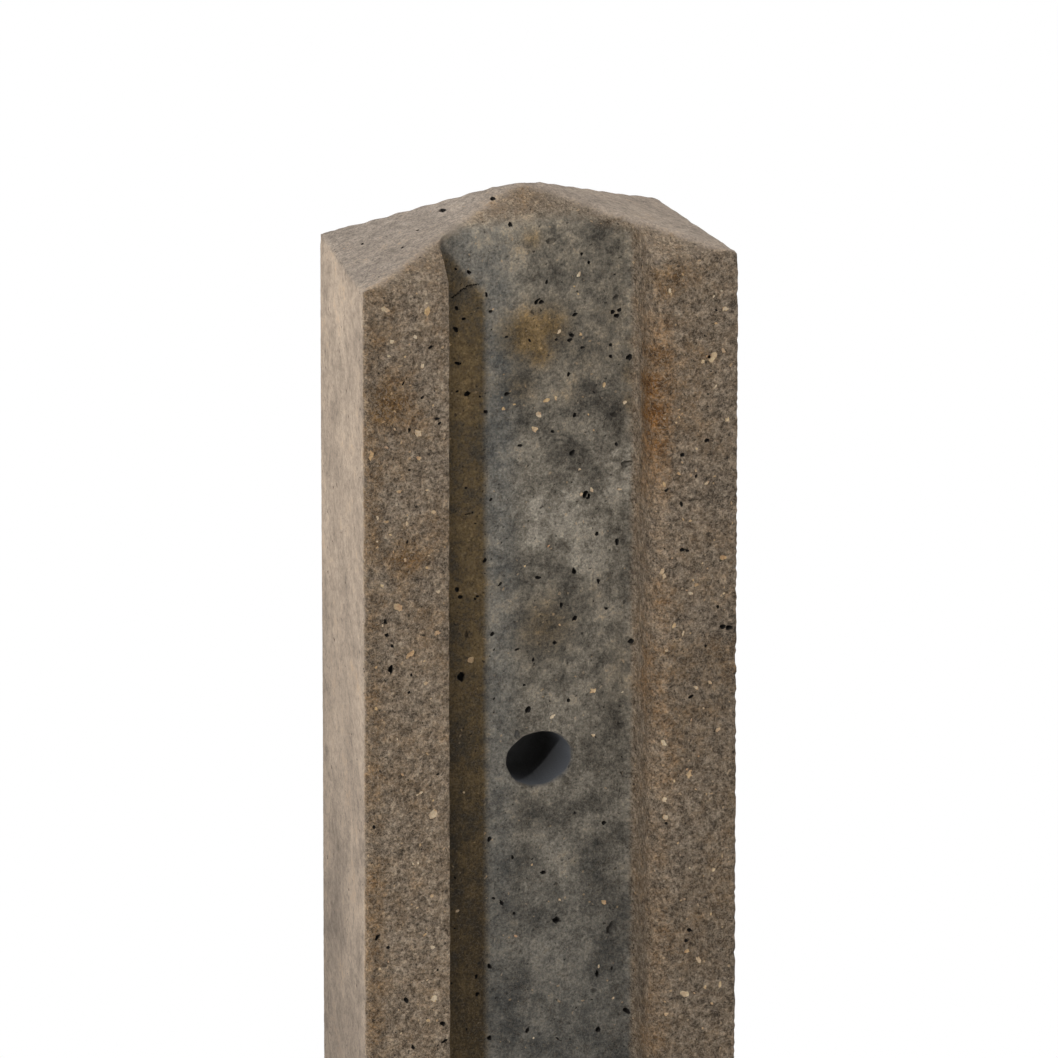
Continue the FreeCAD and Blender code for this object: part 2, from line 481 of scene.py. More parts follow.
# Spots on the casting: millimetres across from the middle, millimetres down from the eaves, width.
FLOOR_PORES = (
    (-17.7, 1.6, 1.5), (-13, 8.1, 1.1), (-11.9, 12.7, 1.0), (0.4, 11.4, 1.6), (1.6, 11.6, 1.6),
    (3, 6.5, 1.0), (-6.4, -10.8, 1.4), (10.5, 16, 1.3), (12.4, 0, 1.0), (14.3, 2.5, 1.2),
    (20.7, 16.4, 1.4), (21.8, 17.4, 1.6), (22.4, 16, 1.2), (9.8, 21.4, 1.4), (9.2, 22.6, 1.5),
    (12.6, 24.9, 1.0), (20.2, 25.1, 1.0), (20.2, 28.2, 1.2), (25.3, 28.7, 1.7), (-1.5, 21.5, 0.9),
    (8.9, 31.7, 1.2), (-7.6, 35.2, 1.2), (-18.2, 34, 1.8), (-14.8, 35.1, 0.8), (-13.3, 39.3, 1.2),
    (-20.7, 25.5, 1.2), (-21.2, 16.4, 1.5), (-21, 10.8, 1.2), (-19.1, 13.9, 1.0), (-21.2, 0.4, 0.8),
    (-20.8, 33, 0.9), (10.6, 42.8, 1.2), (4.6, 46.6, 1.0), (-4.1, 49.3, 1.3), (9.8, 53, 1.6),
    (21.8, 51.8, 1.0), (13.5, 64.3, 1.9), (14.3, 65.1, 1.8), (-11.9, 62.9, 1.0), (16.6, 75.3, 1.3),
    (22, 78.1, 1.4), (-13.5, 79.1, 1.4), (0.8, 85.4, 1.2), (10.5, 84.8, 1.6), (17, 88.1, 1.2),
    (7, 93.4, 1.5), (10.6, 97.4, 1.8), (-9.4, 86, 1.2), (-21, 86, 1.4), (-20.1, 88.1, 1.3),
    (-15.5, 88.6, 0.9), (-11.5, 99.1, 1.2), (19.1, 95.8, 1.0), (26.2, 105, 1.6), (-18.6, 59.1, 0.7),
    (-4.8, 104.1, 1.1), (5.2, 103.4, 1.2), (-0.5, 107.3, 1.0), (-19.9, 109.8, 2.4), (-3, 113.9, 0.9),
    (-1.8, 120.7, 1.7), (-11, 103.5, 0.8), (9, 119.4, 1.0), (18.6, 153.8, 1.2), (-12.4, 154.6, 1.3),
    (-6.1, 160.2, 1.2), (2.2, 165.3, 1.6), (-9.1, 172.3, 1.3), (-5.7, 175.5, 1.0), (5.7, 178.8, 2.1),
    (16.8, 194.8, 1.6), (-12.4, 189.2, 1.5), (-15.9, 191.5, 1.3), (-15.7, 196.4, 1.3), (24.8, 205.7, 2.0),
    (-2.1, 208.1, 1.6), (17, 210.2, 1.5), (-12.4, 208.8, 1.6),
)
FLOOR_DISHES = (
    (-0.8, 14.1, 1.7), (4.1, -4.4, 2.4), (21.5, 12.5, 2.3), (21, 43.7, 2.2), (24.2, 57.4, 2.8),
    (-18.4, 98.4, 1.9), (-4.8, 127, 2.4), (17, 110.9, 1.4), (22.8, 127.8, 2.2), (23.6, 141.1, 2.0),
    (20.6, 182.5, 3.8), (16, 199.4, 1.8),
)
FLOOR_CHIPS = (
    (-17.1, 105.5, 1.4), (15.5, 117.6, 1.6), (4.7, 123.3, 1.0), (18.6, 175.4, 1.4), (-0.1, 45.3, 1.4),
    (23.9, 40.9, 1.0), (22.6, 64, 0.8), (15.2, 63.4, 0.9), (12.4, 64.2, 0.8), (3, 38, 1.3),
    (1, 41.5, 1.2), (-8.6, 39, 0.9), (6.4, 20, 0.9),
)
FLOOR_CRACKS = (
    ((-22.1, 7.9), (-19.9, 6.3), (-17.9, 5.1), (-14.6, 5.1)),
    ((-18.6, 66.2), (-16.4, 65.8)),
)
LAND_PORES = (
    (-32.2, 15.9, 1.2), (-37.9, 37.3, 1.3), (-29.9, 36.4, 1.0), (-34.5, 29, 1.0), (-39.5, 24.7, 0.9),
    (-44.4, 87.7, 1.3), (-44, 91.4, 1.2), (-42.9, 100.7, 1.9), (-42.6, 94.4, 0.9), (-37.5, 102.8, 0.8),
    (-46.9, 172.6, 1.6), (-29.3, 198.1, 1.7), (-28.9, 203, 1.5), (-37.3, 203.6, 1.3), (-39.1, 190.5, 1.4),
    (-47.6, 142.6, 0.9), (41.6, 48.8, 1.3), (38.7, 58.1, 1.1), (34.7, 65, 1.2), (35, 77.4, 1.3),
    (36.4, 77.8, 1.2), (34.9, 52, 1.3), (44.7, 93.9, 1.0), (46, 99.4, 1.5), (47.6, 99.9, 1.8),
    (41.4, 104.1, 1.0), (37.6, 117.3, 1.3), (37.3, 180.7, 1.5), (36.4, 183.5, 1.2), (30.9, 150.9, 1.2),
)
LAND_DISHES = ((30.4, 15.9, 1.8), (-28.2, 162.4, 1.6), (-36, 58, 1.4), (42, 74, 1.6), (-40, 150, 1.8))
LAND_CHIPS = (
    (-44.2, 4.6, 1.7), (-33, 6.7, 1.7), (-35.5, 38.3, 1.8), (-48.2, 43, 1.7), (-40.9, 84.3, 2.1),
    (-34.5, 20.8, 1.2), (-43.3, 17.1, 0.7), (-31.5, 59.9, 1.1), (-35.5, 45, 0.9), (-39.1, 71.8, 0.9),
    (-37.8, 97.2, 1.6), (-30.5, 92.2, 1.3), (-47, 110.7, 0.9), (-33.7, 105.4, 0.9), (-31.7, 140.9, 2.0),
    (-31.7, 191, 1.6), (46.3, 14.2, 1.2), (40.4, 27.6, 1.0), (42.9, 26.6, 2.2), (45.9, 25.4, 1.1),
    (46.9, 43.8, 1.0), (34, 56.8, 0.9), (46.2, 80.9, 1.5), (29.4, 82.9, 1.3), (29.9, 84, 1.2),
    (31.4, 7.8, 1.0), (30, 59.3, 0.9), (41.6, 60.3, 1.2), (30.2, 144.2, 1.3), (30.4, 149.2, 1.5),
    (29.6, 129, 1.6), (37.1, 138.5, 1.6), (39.8, 189.1, 1.4), (36, 198, 1.7), (45.6, 196.7, 1.2),
    (38.9, 115, 1.1),
)
# On the cap: across, front to back, up from the eaves, width.
CAP_PORES = (
    (-19.7, 2.9, 10.2, 2.6), (-8.5, -3.6, 14.7, 2.0), (-34, -8, 5.4, 1.1), (-28, -2, 7.6, 1.0),
    (-40, 6, 2.6, 1.0),
)
# On the left side: front to back, down from the eaves, width.
LEFT_PITS = (
    (10.2, 104, 1.2), (5.7, 61, 1.2), (-3.3, 84, 1.0), (-8, 38, 0.9), (2, 24, 0.9), (14, 140, 1.1),
    (-6, 166, 1.0),
)
# More at random: kind, count, nearest and furthest under the eaves, least and most width, faces.
SCATTER = (
    ("pore", 170, 6 * MM, 215 * MM, 0.45 * MM, 1.0 * MM, ("floor", "land", "side", "side", "back", "back")),
    ("chip", 110, 4 * MM, 215 * MM, 0.5 * MM, 1.1 * MM, ("floor", "land", "land", "land", "land")),
    ("pore", 150, 215 * MM, EAVES - 20 * MM, 1.0 * MM, 3.2 * MM,
     ("floor", "floor", "land", "land", "side", "side", "back")),
    ("chip", 60, 215 * MM, EAVES - 20 * MM, 1.0 * MM, 2.4 * MM, ("floor", "land", "land", "land")),
)
# Each kind of pip, for each unit of width: its spread, its thickness and how far its middle stands out.
# Then how much of a pit and of a chip it is to the material.
PIPS = {
    "pore": (1.0, 1.8, 0.0, 1.0, 0.0),
    "dish": (1.0, 0.9, 0.2, 0.4, 0.0),
    "chip": (1.35, 0.4, 0.08, 0.0, 1.0),
}
PIP_UNEVEN = (0.7, 1.25)  # least and most reach of a corner of a pip
PIP_NARROW = (0.65, 0.95)  # least and most width of a pip, one way
PIP_LONG = (0.95, 1.4)  # and the other way
CHIP_PALE = (0.5, 1.0)  # least and most paleness of a chip
FACE_WAYS = {
    "floor": (0, -1, 0), "land": (0, -1, 0), "back": (0, 1, 0),
    "cap": (0, 0, 1), "left": (-1, 0, 0), "right": (1, 0, 0),
}
CRACK_STEP = 0.45  # millimetres between the spots of a crack
CRACK_WIDTH = 0.55


def side_place(sizes, hand, y, z):
    """A place on one of the two leaning sides."""
    return hand * half_width(sizes, y), y, z


def spots(kind, face, depth, listed):
    return [(kind, face, (x * MM, depth, EAVES - drop * MM), width * MM) for x, drop, width in listed]


def crack_line(start, end):
    """Small spots in a row from one place to another."""
    steps = max(2, round(math.dist(start, end) / CRACK_STEP))
    run = np.array(end) - start
    return [(*(np.array(start) + run * step / steps), CRACK_WIDTH) for step in range(steps)]


def seen_spots(sizes):
    """Pores, dishes, chips and cracks that show on the head of the post."""
    found = spots("pore", "floor", SLOT_FLOOR, FLOOR_PORES) + spots("dish", "floor", SLOT_FLOOR, FLOOR_DISHES)
    found += spots("chip", "floor", SLOT_FLOOR, FLOOR_CHIPS) + spots("chip", "land", FRONT, LAND_CHIPS)
    found += spots("pore", "land", FRONT, LAND_PORES) + spots("dish", "land", FRONT, LAND_DISHES)
    for x, y, rise, width in CAP_PORES:
        found.append(("pore", "cap", (x * MM, y * MM, EAVES + rise * MM), width * MM))
    for y, drop, width in LEFT_PITS:
        found.append(("pore", "left", side_place(sizes, -1, y * MM, EAVES - drop * MM), width * MM))
    for crack in FLOOR_CRACKS:
        for start, end in zip(crack, crack[1:]):
            found += spots("pore", "floor", SLOT_FLOOR, crack_line(start, end))
    return found


def scattered_spots(sizes, draw):
    """More pores and chips at random, small on the head and larger on the plain length below."""
    half_mouth = sizes.mouth_width / 2
    half_front = sizes.front_width / 2
    half_back = half_front - sizes.side_draft
    off_lip, off_back, off_side = 3 * MM, 4 * MM, 5 * MM
    found = []
    for kind, count, highest, lowest, least, most, faces in SCATTER:
        for _ in range(count):
            height = EAVES - draw.uniform(highest, lowest)
            width = least + (most - least) * draw.random() ** 3
            hand = draw.choice((-1, 1))
            face = draw.choice(faces)
            if face == "floor":
                place = (draw.uniform(off_lip - half_mouth, half_mouth - off_lip), SLOT_FLOOR, height)
            elif face == "land":
                place = (hand * draw.uniform(half_mouth + off_lip, half_front - off_lip), FRONT, height)
            elif face == "back":
                place = (hand * draw.uniform(0, half_back - off_back), BACK, height)
            else:
                place = side_place(sizes, hand, draw.uniform(FRONT + off_side, BACK - off_side), height)
                face = "left" if hand < 0 else "right"
            found.append((kind, face, place, width))
    return found


def spot_cutters(cage, sizes):
    """One uneven pip for each pore, dish and chip, all in one object."""
    draw = random.Random(sizes.pore_seed)
    skin = BVHTree.FromObject(cage, bpy.context.evaluated_depsgraph_get())
    bpy.ops.object.select_all(action="DESELECT")
    bpy.ops.mesh.primitive_ico_sphere_add(subdivisions=2, radius=0.5, location=(0.0, 0.0, 0.0))
    pip = bpy.context.object
    for name in ("pit", "chip"):
        pip.data.attributes.new(name, "FLOAT", "POINT")
    count = len(pip.data.vertices)
    copies = []
    for kind, face, place, width in seen_spots(sizes) + scattered_spots(sizes, draw):
        spread, thick, proud, pit, chip = PIPS[kind]
        width *= spread
        outward = Vector(FACE_WAYS[face])
        surface = skin.find_nearest(Vector(place))[0]
        copy = pip.copy()
        copy.data = pip.data.copy()
        move_to(copy, places(copy) * np.array([[draw.uniform(*PIP_UNEVEN)] for _ in range(count)]))
        write_zone(copy, "pit", np.full(count, pit))
        write_zone(copy, "chip", np.full(count, chip * draw.uniform(*CHIP_PALE)))
        turn = outward.to_track_quat("Z", "X").to_matrix().to_4x4()
        spin = Matrix.Rotation(draw.uniform(0, math.tau), 4, "Z")
        narrow = width * draw.uniform(*PIP_NARROW)
        size = Matrix.Diagonal((narrow, width * draw.uniform(*PIP_LONG), width * thick, 1.0))
        copy.data.transform(Matrix.Translation(surface + outward * proud * width) @ turn @ spin @ size)
        bpy.context.scene.collection.objects.link(copy)
        copies.append(copy)
    bpy.data.objects.remove(pip)
    bpy.ops.object.select_all(action="DESELECT")
    for copy in copies:
        copy.select_set(True)
    bpy.context.view_layer.objects.active = copies[0]
    bpy.ops.object.join()
    return bpy.context.object


def cut(cage, cutter):
    """Takes a cutter out of the casting and throws the cutter away."""
    tool = cage.modifiers.new("cut", "BOOLEAN")
    tool.operation = "DIFFERENCE"
    tool.object = cutter
    tool.solver = "MANIFOLD"
    choose(cage)
    bpy.ops.object.modifier_apply(modifier=tool.name)
    bpy.data.objects.remove(cutter)


def drop_crumbs(cage):
    """Deletes the small closed bits of skin that the cutting leaves apart from the casting."""
    mark(cage, "vertices", places(cage)[:, Z_AXIS] < END_BAND)
    edit(cage)
    bpy.ops.mesh.select_linked()
    bpy.ops.mesh.select_all(action="INVERT")
    bpy.ops.mesh.delete(type="VERT")
    close_edit()


def keep_in_box(cage):
    """Nothing stands out of the solid's box."""
    move_to(cage, np.clip(places(cage), np.array(BOX_LOW), np.array(BOX_HIGH)))


def write_zone(post, name, weights):
    """Keeps a weight at each corner for the material to read."""
    zone = post.data.attributes.get(name) or post.data.attributes.new(name, "FLOAT", "POINT")
    zone.data.foreach_set("value", np.clip(weights, 0, 1).astype(np.float32))


# Soft patches: millimetres across from the middle, millimetres down from the eaves, reach, strength.
STAINS = (
    (-2, 20, 8, 1.0), (3, 18.5, 7, 0.9), (6, 21.5, 4, 0.6), (1, 25, 5, 0.9), (-4, 26, 4, 0.5),
    (-5, 33.5, 6, 0.6), (2.5, 99, 8, 0.7), (6, 95, 5, 0.4), (-0.8, -5, 3.5, 0.6), (-45, 30, 9, 0.9),
    (-47, 14, 6, 0.6), (-38.6, 72.3, 8, 0.6), (30.4, 3.8, 5, 0.5), (27.4, 33, 4, 1.0),
    (27.4, 25, 3.5, 0.7), (27.4, 41, 4, 1.0), (27.6, 49, 4, 0.6), (28, 60, 4, 0.1), (31, 8, 4, 0.5),
    (31, 112, 14, 0.25), (44, 110, 14, 0.45), (2, 250, 14, 0.6), (-40, 320, 16, 0.5), (38, 410, 18, 0.5),
    (4, 520, 16, 0.6), (-36, 700, 18, 0.4), (-6, 820, 18, 0.6), (40, 900, 20, 0.5), (3, 1150, 20, 0.5),
    (-38, 1300, 24, 0.5),
)
PALE_PATCHES = (
    (-17, -1, 7, 0.5), (-3, 4, 7, 0.25), (-9, 66, 7, 0.25), (24.2, 54, 6, 0.6), (-0.5, 67, 5, 0.8),
    (0.6, 74, 5, 0.7), (11.3, 82, 5, 0.7), (22, 62, 5, 0.5), (7.7, 68, 8, 0.5), (6, 160, 5, 0.5),
    (7.5, 167, 5, 0.5), (0.6, 170, 5, 0.5), (4, 187, 8, 0.35), (5, 136, 6, 0.3), (2.5, 99, 7, 0.25),
    (-3, 260, 14, 0.5), (8, 380, 16, 0.5), (-8, 600, 18, 0.5), (6, 960, 20, 0.5),
)
DARK_PATCHES = (
    (13, 26, 6, 0.6), (12, 37.5, 6, 0.7), (7.6, 51, 6, 0.4), (-9, 22, 6, 0.3), (-9.5, 34, 5, 0.3),
    (-8, 72, 5, 0.3), (-8.8, 85, 5, 0.8), (7.6, 87, 6, 0.45), (15, 91, 5, 0.5), (16.6, -5, 5, 0.2),
    (-2, 149, 5, 0.7), (13, 162, 6, 0.7), (4, 166, 12, 0.25), (-6.6, 174, 5, 0.6), (-6.6, 200, 6, 0.5),
    (-9, 52, 5, 0.4), (20, 17, 5, 0.4), (10, 300, 14, 0.5), (-8, 450, 16, 0.5), (4, 740, 18, 0.5),
    (-6, 1080, 20, 0.5),
)
MOST_GRIME_AND_SHADE = 1.5  # the darkening that a weight of one stands for, painted shade included


def patches_at(listed, x, drop):
    """The strongest of the soft patches at each corner."""
    strongest = np.zeros(len(x))
    for across, down, reach, strength in listed:
        far = np.hypot(x - across * MM, drop - down * MM) / (reach * MM)
        strongest = np.maximum(strongest, strength * np.exp(-far ** 2))
    return strongest


def face_zones(sizes, x, y, z):
    """Weights of the cap, the struck face, and the slot's floor, lips, roots and walls."""
    drop = EAVES - z
    width = np.abs(x)
    ends, sides = facet_heights(sizes, x, y)
    side = half_width(sizes, y)
    mouth = sizes.mouth_width / 2 * side / (sizes.front_width / 2)
    near_top = z > EAVES + np.minimum(ends, sides) - 1.5 * MM
    over_eave = ease(z, EAVES - 1 * MM, EAVES + 0.5 * MM) * near_top
    hip_start = np.where(x < 0, -2.2, -1.2) * MM
    front_facet = over_eave * (y < 0) * ease(sides - ends, hip_start, 2.2 * MM)
    # Right facet of the cap, painted lighter below.
    right_facet = ease(x, 0, 8 * MM) * (sides < ends)
    moulded_cap = over_eave * (1 - front_facet)
    ahead = ease(SLOT_FLOOR + 1.5 * MM - y, 0, 1 * MM)
    inner = ease(side - width, 5 * MM, 8 * MM) * ahead * (1 - over_eave)
    land = ease(-y, -FRONT - 2.5 * MM, -FRONT - 0.3 * MM)
    floor_top = 10.5 * MM - 5 * MM * ease(x, 8 * MM, 26 * MM)
    floor = ease(mouth - width, -0.5 * MM, 2 * MM) * ease(y, SLOT_FLOOR - 2.5 * MM, SLOT_FLOOR - 0.5 * MM)
    floor *= ease(SLOT_FLOOR + 6 * MM - y, 0, 3 * MM) * (1 - moulded_cap)
    floor *= ease(drop, -floor_top - 2.5 * MM, -floor_top + 2.5 * MM)
    lip = ease(width - mouth, -2 * MM, 0.5 * MM) * ease(mouth - width, -8 * MM, -3 * MM) * ahead
    root = ease(y, FRONT + 6 * MM, FRONT + 9.5 * MM) * ease(x, mouth - 2 * MM, mouth)
    wall = lip * ((x > 0) | (y > FRONT + 2 * MM)) * ease(drop, 0, 22 * MM)
    rust_left = 1 - 0.6 * ease(drop, 46 * MM, 66 * MM)
    return {
        # The right facet, which faces away from the key lamp, takes less of the darker cap colour: painted
        # light.
        "cap": moulded_cap * (1 - 0.35 * right_facet),
        "front_facet": front_facet,
        "land": land,
        "struck": np.maximum.reduce([land, inner, 0.78 * front_facet]),
        "slot_floor": floor,
        "lip": lip,
        "root": root,
        "slot_wall": wall * (1 - 0.85 * root) * rust_left,
    }


def stain_and_shade_zones(zones, x, drop):
    """Weights of the stains, of the light and dark clouds, and of the bluish strip on the slot's floor; the
    band where the key lamp's shadow falls on the floor is painted as shadow, browner in the stains and lifted
    in the clouds.
    """
    floor = zones["slot_floor"]
    # The band of the floor in the key lamp's cast shadow, which gets painted shadow; partly a real brown
    # stain.
    shaded = floor * ease(-x, 12.2 * MM, 14.2 * MM) * ease(drop - 25.3 * MM - 1.11 * x, -5 * MM, -1 * MM)
    on_front = np.maximum(zones["struck"], floor)
    spilled = patches_at(STAINS, x, drop) * on_front * (1 - 0.85 * zones["root"])
    along_arris = 0.42 * zones["land"] * ease(-x, 43 * MM, 47 * MM) * ease(drop, 2 * MM, 14 * MM)
    warm_top = 0.16 * floor * (1 - ease(drop, 25 * MM, 60 * MM))
    clouds = patches_at(PALE_PATCHES, x, drop) - patches_at(DARK_PATCHES, x, drop)
    return {
        "shaded": shaded,
        # The shaded band adds painted shadow to the stains.
        "stain_and_shade": np.maximum.reduce([spilled, 0.9 * shaded, along_arris, warm_top]),
        # The shaded band is painted lighter in tone, a painted lift of the shadow.
        "tone": 0.5 + 0.5 * clouds + 0.25 * shaded,
        "cool": np.maximum(ease(-x, 2 * MM, 9 * MM), ease(drop, 120 * MM, 220 * MM)) * floor,
    }


def bore_zone(sizes, x, y, z):
    """Weight of the hole's darker wall, stronger further in: painted shade deeper in the hole, with soiling.
    """
    reach = sizes.hole_width / 2 + 1.5 * MM
    inside = (np.hypot(x, z - HOLE["pos_m"][Z_AXIS]) < reach) * (np.abs(y) < BACK - 0.5 * MM)
    mouth = ease(y, SLOT_FLOOR, SLOT_FLOOR + 1.5 * MM)
    deep = ease(y, SLOT_FLOOR + 3 * MM, SLOT_FLOOR + 14 * MM)
    return inside * 0.5 * (mouth + deep)


def grime_and_shade_zone(zones, x, y, drop):
    """Weight of the darkening, which grows down the post and towards the back of its sides, with painted
    shadow in the shaded band of the slot's floor and painted shade on the floor beside its left lip.
    """
    floor, struck, lip = zones["slot_floor"], zones["struck"], zones["lip"]
    lower = ease(drop, 10 * MM, 215 * MM)
    moulded = (1 - struck) * (1 - floor)
    towards_back = np.minimum(0.4 + 0.9 * (y - FRONT) / (BACK - FRONT), 1)
    right_land = struck * (x > 0) * (1 - floor) * (1 - lip)
    # The shaded term adds painted shadow in the band of the floor under the key lamp's shadow.
    grime_and_shade = lower * (floor + moulded * towards_back + 0.4 * right_land + 0.45 * zones["shaded"])
    grime_and_shade += 0.26 * right_land
    # Painted contact shade, with soiling, on the strip of floor beside the left lip.
    grime_and_shade += 0.7 * floor * ease(-x, 20 * MM, 22 * MM) * (1 - 0.6 * lower)
    grime_and_shade += 0.3 * zones["front_facet"] * ease(-x, 10 * MM, 25 * MM)
    grime_and_shade += 0.5 * lip * (x > 0) * ease(drop, 110 * MM, 190 * MM)
    return grime_and_shade / MOST_GRIME_AND_SHADE


def map_zones(post, sizes):
    """Marks the faces, the stains and painted shadow, the bore with its painted shade, and the darkening for
    the material.
    """
    x, y, z = places(post).T
    drop = EAVES - z
    zones = face_zones(sizes, x, y, z)
    zones.update(stain_and_shade_zones(zones, x, drop))
    zones["bore"] = bore_zone(sizes, x, y, z)
    zones["grime_and_shade"] = grime_and_shade_zone(zones, x, y, drop)
    for name in ("struck", "slot_floor", "slot_wall", "stain_and_shade", "bore", "cap", "tone", "cool", "grime_and_shade"):
        write_zone(post, name, zones[name])


MIX_INPUTS = (0, 6, 7)  # a Mix node's share and its two colours
MIX_RESULT = 2


class Bench:
    """Adds and joins the nodes of one material or of the world."""

    def __init__(self, owner):
        owner.use_nodes = True
        self.nodes = owner.node_tree.nodes
        self.links = owner.node_tree.links
        self.nodes.clear()

    def add(self, kind, settings=None, inputs=None):
        node = self.nodes.new(kind)
        for name, value in (settings or {}).items():
            setattr(node, name, value)
        for name, value in (inputs or {}).items():
            self.feed(node.inputs[name], value)
        return node

    def feed(self, socket, value):
        if isinstance(value, bpy.types.NodeSocket):
            self.links.new(value, socket)
        else:
            socket.default_value = value

    def noise(self, place, grain, octaves, rough):
        inputs = {"Vector": place, "Scale": 1 / grain, "Detail": octaves, "Roughness": rough}
        return self.add("ShaderNodeTexNoise", None, inputs).outputs["Fac"]

    def ramp(self, value, *stops):
        node = self.add("ShaderNodeValToRGB", None, {"Fac": value})
        for _ in stops[2:]:
            node.color_ramp.elements.new(0.5)
        for element, (position, colour) in zip(node.color_ramp.elements, stops):
            element.position = position
            element.color = rgba(colour)
        return node.outputs["Color"]

    def fit(self, value, low, high, start=0.0, end=1.0):
        inputs = {"Value": value, "From Min": low, "From Max": high, "To Min": start, "To Max": end}
        return self.add("ShaderNodeMapRange", None, inputs).outputs["Result"]

    def calc(self, operation, first, second):
        node = self.add("ShaderNodeMath", {"operation": operation})
        self.feed(node.inputs[0], first)
        self.feed(node.inputs[1], second)
        return node.outputs["Value"]

    def mix(self, share, first, second, way="MIX"):
        node = self.add("ShaderNodeMix", {"data_type": "RGBA", "blend_type": way})
        for socket, value in zip(MIX_INPUTS, (share, first, second)):
            self.feed(node.inputs[socket], value)
        return node.outputs[MIX_RESULT]

    def backdrop_rays(self):
        """1 where the camera, a gloss or a glass looks, 0 where light only bounces."""
        path = self.add("ShaderNodeLightPath").outputs
        shiny = self.calc("MAXIMUM", path["Is Glossy Ray"], path["Is Transmission Ray"])
        return self.calc("MAXIMUM", path["Is Camera Ray"], shiny)

    def zone(self, name):
        return self.add("ShaderNodeAttribute", {"attribute_name": name}).outputs["Fac"]


def rgba(colour):
    return (*colour, 1.0)


def specks(bench, place, grain, share, size):
    """Round grains of mixed sizes in a share of the cells of a scatter."""
    cells = bench.add("ShaderNodeTexVoronoi", None, {"Vector": place, "Scale": 1 / grain})
    chance = bench.add("ShaderNodeSeparateColor", None, {"Color": cells.outputs["Color"]})
    chosen = bench.calc("GREATER_THAN", chance.outputs["Red"], 1 - share)
    reach = bench.fit(chance.outputs["Green"], 0.0, 1.0, 0.35 * size, size)
    near = bench.calc("DIVIDE", cells.outputs["Distance"], reach)
    return bench.calc("MULTIPLY", chosen, bench.fit(near, 1.0, 0.7)), chance.outputs["Blue"]


